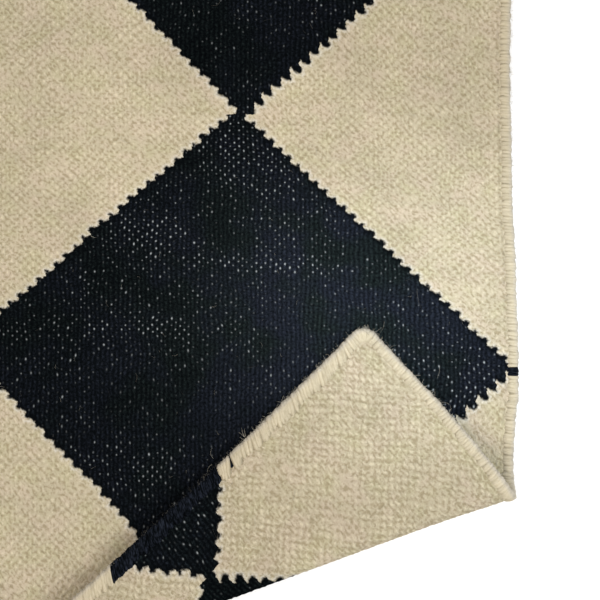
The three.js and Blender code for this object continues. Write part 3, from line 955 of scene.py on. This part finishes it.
def height_of_wool(net, weave):
    """The relief of the yarn: its beads, which blur in places, its fibres, which slant, the other way
    on the wrong side, and its fuzz."""
    a, b, wrong_side = weave.a, weave.b, weave.wrong
    across_twist = a + b * (wrong_side * -1.24 + 1)
    along_twist = a * (wrong_side * -0.74 + 1) + b * (wrong_side * 1.86 - 1)
    twist = net.noise(net.vector(across_twist * 1.2, along_twist * 0.55, wrong_side * 5), 1.0, 2.0)
    blurred = net.ramp(net.noise(weave.mm, 0.035, 2.0), 0.48, 0.66)
    height = weave.bead * (wrong_side * -0.02 - blurred * 0.3 + 0.75)
    height = height + (twist - 0.5) * (wrong_side * -0.3 + blurred * 0.5 + 1.1)
    return height + (weave.fuzz - 0.5) + blurred * 0.1


def cream_wool(net, weave, height):
    """Cream with a greenish and a pinkish cast in patches, painted shade in the hollows and a painted
    highlight on the beads, and paler beside the black."""
    tint = net.noise(weave.mm, 0.07, 3.0)
    streak = net.noise(net.vector(weave.a * 0.06, weave.b * 0.5, weave.wrong * 9), 1.0, 2.0)
    cream = net.blend(net.ramp(tint, 0.35, 0.5), CREAM_GREENISH, CREAM)
    cream = net.blend(net.ramp(tint, 0.5, 0.65), cream, CREAM_PINKISH)
    # Painted shade in the hollows between beads and a painted highlight on their tops, from the relief
    cream = net.blend(net.ramp(height, -0.1, 0.33, 0.75, 0.0), cream, CREAM_PAINTED_SHADE)
    cream = net.blend(net.ramp(height, 0.35, 0.95, 0.0, 0.75), cream, CREAM_PAINTED_HIGHLIGHT)
    at_step = net.ramp(weave.inside_black, -1.1, -0.1) * (weave.fuzz * 3.0 - 0.9)
    cream = net.blend(at_step, cream, CREAM_AT_STEP)
    lightness = weave.cloudy * 0.4 + streak * 0.18 + weave.fibres * 0.55 + 0.44
    return net.scaled(cream, lightness - weave.wrong * 0.05)


def black_wool(net, weave):
    """Black, faintly ribbed along its warps, greyed in places by a painted sheen on its ribs and beads
    and where the light pools, with pale warps in the hollows.
    """
    # Painted sheen on the raised ribs and beads, through the fuzz, and more where the light pools
    sheen_and_greying = (weave.rib * 0.4 + weave.bead * 0.5) * (weave.fuzz * 2.2 + weave.fibres * 1.2 - 1.45)
    sheen_and_greying = sheen_and_greying + net.value("painted_sheen") * (weave.fuzz * 1.4 + weave.rib * 0.4 - 0.25)
    sheen_and_greying = sheen_and_greying * net.ramp(weave.inside_black, 0.3, 1.6, 0.2, 1.0)
    hue = net.blend(net.ramp(weave.cloudy, 0.42, 0.58), BLACK_SHEEN_AND_GREYING_GREENISH, BLACK_SHEEN_AND_GREYING)
    dark = net.blend(sheen_and_greying.maximum(0.0), BLACK, hue)
    dark = net.scaled(dark, weave.cloudy * 1.2 + 0.4)
    return net.blend(pale_warps(net, weave), dark, PALE_WARP)


def pale_warps(net, weave):
    """How plainly a pale warp shows between the black wefts: dots in the hollows between beads, each
    of its own size and place, but not next to the cream."""
    p, q, off_a, off_b = nearest_hollow(weave.a + weave.wrong, weave.b)
    chance = net.random(net.vector(p, q, weave.wrong + 7))
    second = net.random(net.vector(p, q, weave.wrong + 9))
    off_a = off_a + (chance - 0.5) * 0.25
    off_b = off_b + (second - 0.5) * 0.3
    off = (off_a / 0.145).squared() + (off_b / (second * 0.1 + 0.14)).squared()
    bare = net.value("bare") - net.ramp(weave.inside_black, 0.5, 4.0, 0.35, 0.0)
    shows = net.ramp(bare - chance, -0.45, 0.78).power(1.6) * (second * 0.7 + 0.6)
    return (off * -1).exponent() * shows


def needle_hole_shade(net, weave):
    """How much painted shade lies in the uneven row of holes that the overcasting pulls into the cloth.
    """
    to_hole = net.value("to_hole")
    hole = net.ramp(to_hole, -0.6, 0.5) * net.ramp(to_hole, 0.6, 2.4, 1.0, 0.0)
    here = net.ramp(net.noise(weave.mm, 0.35, 1.0), 0.4, 0.62)
    return hole * here * (weave.wrong * -0.7 + 1)


def woven_wool():
    """The cloth: cream and black wool in stepped diamonds."""
    net = Net("woven_wool")
    weave = Weave(net)
    height = height_of_wool(net, weave)
    black = net.ramp(weave.inside_black, -0.35, 0.3)
    colour = net.blend(black, cream_wool(net, weave, height), black_wool(net, weave))
    # Painted shade in the row of needle holes
    colour = net.scaled(colour, needle_hole_shade(net, weave) * -0.2 + 1)
    return net.finish(colour, net.bump(height * 0.5 + weave.fibres * 0.3, 1.1, 0.9))


def nearest_hollow(a, b):
    """The hollow between beads that a place belongs to, by its numbers along both slanting rows, and
    how far the place is from that hollow's middle."""
    p = ((a + b) / 2 - 1).nearest()
    q = ((a - b) / 2 - 0.5).nearest()
    return p, q, a - p - q - 1.5, b - p + q - 0.5


def diamonds(net, a, b, mm):
    """How many threads a place is inside the black diamonds, or outside them if less than nothing.
    Each black step ends outward in a lump of yarn. The steps slant, but for those low on the right,
    where the cream rises in a point beside each."""
    b_here = b + (net.noise(mm, 0.7, 2.0) - 0.5) * 0.7
    row = (b_here / (2 * DIAMOND_PICKS)).nearest()
    odd_row = (row / 2 - (row / 2).floor()) * 2
    from_middle = b_here - row * (2 * DIAMOND_PICKS)
    a_here = a - odd_row * 2 + 1 + (net.noise(mm, 0.5, 2.0) - 0.5) * 1.1
    wide = 2 * DIAMOND_WARPS
    wrapped = a_here - (a_here / wide).floor() * wide - DIAMOND_WARPS
    upper = from_middle > 0
    right = wrapped > 0
    column = (wrapped.size() / STEP).floor()
    outward = wrapped.size() / STEP - column
    past_step = from_middle.size() + column * STEP - DIAMOND_PICKS
    side = upper + right * 2
    each = net.random(net.vector(column, row, side))
    nearer = net.random(net.vector(column - 1, row, side))

    pointed = right - right * upper
    slant = outward * -1 + (each - 0.5) * 0.5 + 0.6
    point = net.bell(outward, 0.1, 0.16) * (each * 0.5 + 0.25) * -1
    step = slant + (point - slant) * pointed + (column < 1) * 1.3 - past_step
    sunk = upper * -0.25 + 0.55
    lump = each * 0.35 + 0.45 - distance(outward * -2 + 1.6, past_step + sunk)
    nearer_lump = nearer * 0.35 + 0.45 - distance(outward * 2 + 0.4, past_step - STEP + sunk)
    return step.maximum(lump).maximum(nearer_lump)


def distance(across, up):
    """How long a slanting way is."""
    return (across.squared() + up.squared()).root()


def overcast_yarn():
    """Soft wool yarn, cream or black, with its fibres and two plies running along it."""
    net = Net("overcast_yarn")
    along, around = net.uv("Yarn")
    tone = net.value("tone")
    fibre = net.noise(net.vector(along * 0.35, around * 9, tone * 40), 1.0, 3.0, 0.65)
    patch = net.noise(net.vector(along * 0.4, around * 1.5, tone * 60), 1.0, 1.0)
    twist = ((around * 2 + along * 0.16) * FULL_TURN).sine() * 0.5 + 0.5
    sideways = (around * FULL_TURN).sine().size()
    outside = net.value("outside")
    # Painted shade in the partings, where the yarn's sides turn towards its neighbours
    parting_shade = net.ramp(sideways + (fibre - 0.5) * 0.3, 0.25, 0.75) * net.value("parting_shade_share")
    cream = net.blend(net.ramp(fibre, 0.3, 0.6, 0.6, 0.0), YARN_CREAM, YARN_CREAM_DEEP)
    cream = net.blend(parting_shade * (outside * -0.6 + 0.8) * (tone * 0.8 + 0.4), cream, YARN_PAINTED_PARTING_SHADE)
    # Painted shade, greyish, on the roll's outer side, which faces sideways
    cream = net.blend(outside * 0.7, cream, YARN_PAINTED_EDGE_SHADE)
    cream = net.scaled(cream, tone * 0.14 + patch * 0.2 + fibre * 0.2 + 0.76)
    dark = net.blend(net.ramp(fibre, 0.4, 0.75), BLACK, BLACK_SHEEN_AND_GREYING)
    colour = net.blend(net.value("black"), cream, dark)
    # Deeper painted shade where a turn dips into its hole in the cloth
    colour = net.scaled(colour, net.value("hidden") * parting_shade * tone * -0.5 + 1)
    return net.finish(colour, net.bump(fibre * 0.6 + twist * 0.3, 0.3, 0.5))


def loose_fibres():
    """The wool of single fibres, from dark to pale."""
    net = Net("loose_fibres")
    return net.finish(net.blend(net.value("pale"), FIBRE_DARK, FIBRE_PALE))


# The room: a floor, soft lights and the camera, in metres and watts

CAMERA_PLACE = (0.18245, -0.22136, 0.4)
CAMERA_VIEW = math.radians(45.2)
FLOOR_SIZE = 6
FLOOR_HEIGHT = -0.0001
LIT_PLACE = (0.2, -0.2, 0)
FLOOR_COLOUR = (0.92, 0.92, 0.92, 1)
SKY_STRENGTH = 0.7
POOL_HEIGHT = 0.6
POOL_LAMP_SIZE = 0.05
WHITE = (1, 1, 1)


def add_floor():
    """A wide floor, a hair lower than the rug's underside."""
    bpy.ops.mesh.primitive_plane_add(size=FLOOR_SIZE, location=(0, 0, FLOOR_HEIGHT))
    floor = bpy.context.object
    floor.name = "floor"
    floor.data.materials.append(Net("pale_floor", roughness=0.8, specular=0.2).finish(FLOOR_COLOUR))


def add_lamp(name, kind, place_at, power, colour):
    """A lamp that points straight down."""
    light = bpy.data.lights.new(name, kind)
    light.energy = power
    light.color = colour
    lamp = bpy.data.objects.new(name, light)
    lamp.location = place_at
    bpy.context.collection.objects.link(lamp)
    return lamp


def add_soft_lamp(name, place_at, size, power, colour=WHITE):
    """A soft round lamp, so wide, that points at the part of the rug in the photo."""
    lamp = add_lamp(name, "AREA", place_at, power, colour)
    lamp.data.shape = "DISK"
    lamp.data.size = size
    x, y, z = np.subtract(LIT_PLACE, place_at)
    lamp.rotation_euler = (math.atan2(math.hypot(x, y), -z), 0, math.atan2(y, x) - math.pi / 2)


def add_pool(name, x, y, degrees, power, colour=WHITE):
    """A lamp straight above a place that brightens the rug softly around it."""
    lamp = add_lamp(name, "SPOT", (x, y, POOL_HEIGHT), power, colour)
    lamp.data.shadow_soft_size = POOL_LAMP_SIZE
    lamp.data.spot_size = math.radians(degrees)
    lamp.data.spot_blend = 1


def add_camera():
    """The camera looks straight down on the folded corner."""
    camera = bpy.data.cameras.new("camera")
    camera.angle = CAMERA_VIEW
    camera.clip_start = 0.01
    viewer = bpy.data.objects.new("camera", camera)
    viewer.location = CAMERA_PLACE
    bpy.context.collection.objects.link(viewer)
    bpy.context.scene.camera = viewer


def light_room():
    """A pale sky, warm light from the left, white from the right, and pools where it is brightest."""
    scene = bpy.context.scene
    scene.view_settings.view_transform = "Standard"
    scene.world = bpy.data.worlds.new("room")
    scene.world.use_nodes = True
    sky = scene.world.node_tree.nodes["Background"]
    sky.inputs["Color"].default_value = (1, 1, 1, 1)
    sky.inputs["Strength"].default_value = SKY_STRENGTH
    add_soft_lamp("key", (-0.4, -0.2, 0.9), 0.5, 4, colour=(1.1, 0.97, 0.85))
    add_soft_lamp("fill", (0.8, -0.45, 1.0), 0.8, 8.2)
    add_pool("pool_left", 0.14, -0.18, 21, 3.6)
    add_pool("pool_right", 0.262, -0.228, 22.5, 7.4, colour=(0.86, 1.02, 1.2))


# The whole rug, with a finer mesh near the folded corner than elsewhere


def fine(first, last, apart=0.5):
    """The lines of a finer mesh, half a thread apart."""
    return np.arange(first, last + apart / 2, apart)


def coarse(first, last):
    """The lines of a coarser mesh, a thread apart."""
    return fine(first, last, 1.0)


def build_rug():
    """The cloth in four stretches, the yarn over its edges and the loose fibres."""
    wool = woven_wool()
    front, back = CLOTH_ENDS
    near = fine(front, SEAM_ACROSS)
    last_line = CLOTH_SIDE - 0.5
    left_lines = np.append(-CLOTH_SIDE, coarse(-last_line, SEAM_ALONG))
    all_lines = np.concatenate([[-CLOTH_SIDE], coarse(-last_line, last_line), [CLOTH_SIDE]])
    cloth("cloth_front_middle", fine(SEAM_ALONG, FINE_SEAM), near, wool)
    cloth("cloth_front_right", fine(FINE_SEAM, CLOTH_SIDE), near, wool)
    cloth("cloth_front_left", left_lines, coarse(front, SEAM_ACROSS), wool)
    cloth("cloth_back", all_lines, coarse(SEAM_ACROSS, back), wool)

    yarn = overcast_yarn()
    binding("overcast_end_front", EDGES["front"], yarn, 1, LOOSE_TURNS)
    binding("overcast_side_right", EDGES["right"], yarn, 2)
    binding("overcast_end_back", EDGES["back"], yarn, 3)
    binding("overcast_side_left", EDGES["left"], yarn, 4)

    fibres = loose_fibres()
    edge_fuzz("fuzz_of_edges", fibres, 5)
    cloth_fuzz("fuzz_of_cloth", fibres, 6)
    stray_hairs("stray_hairs", fibres)


build_rug()
add_floor()
light_room()
add_camera()
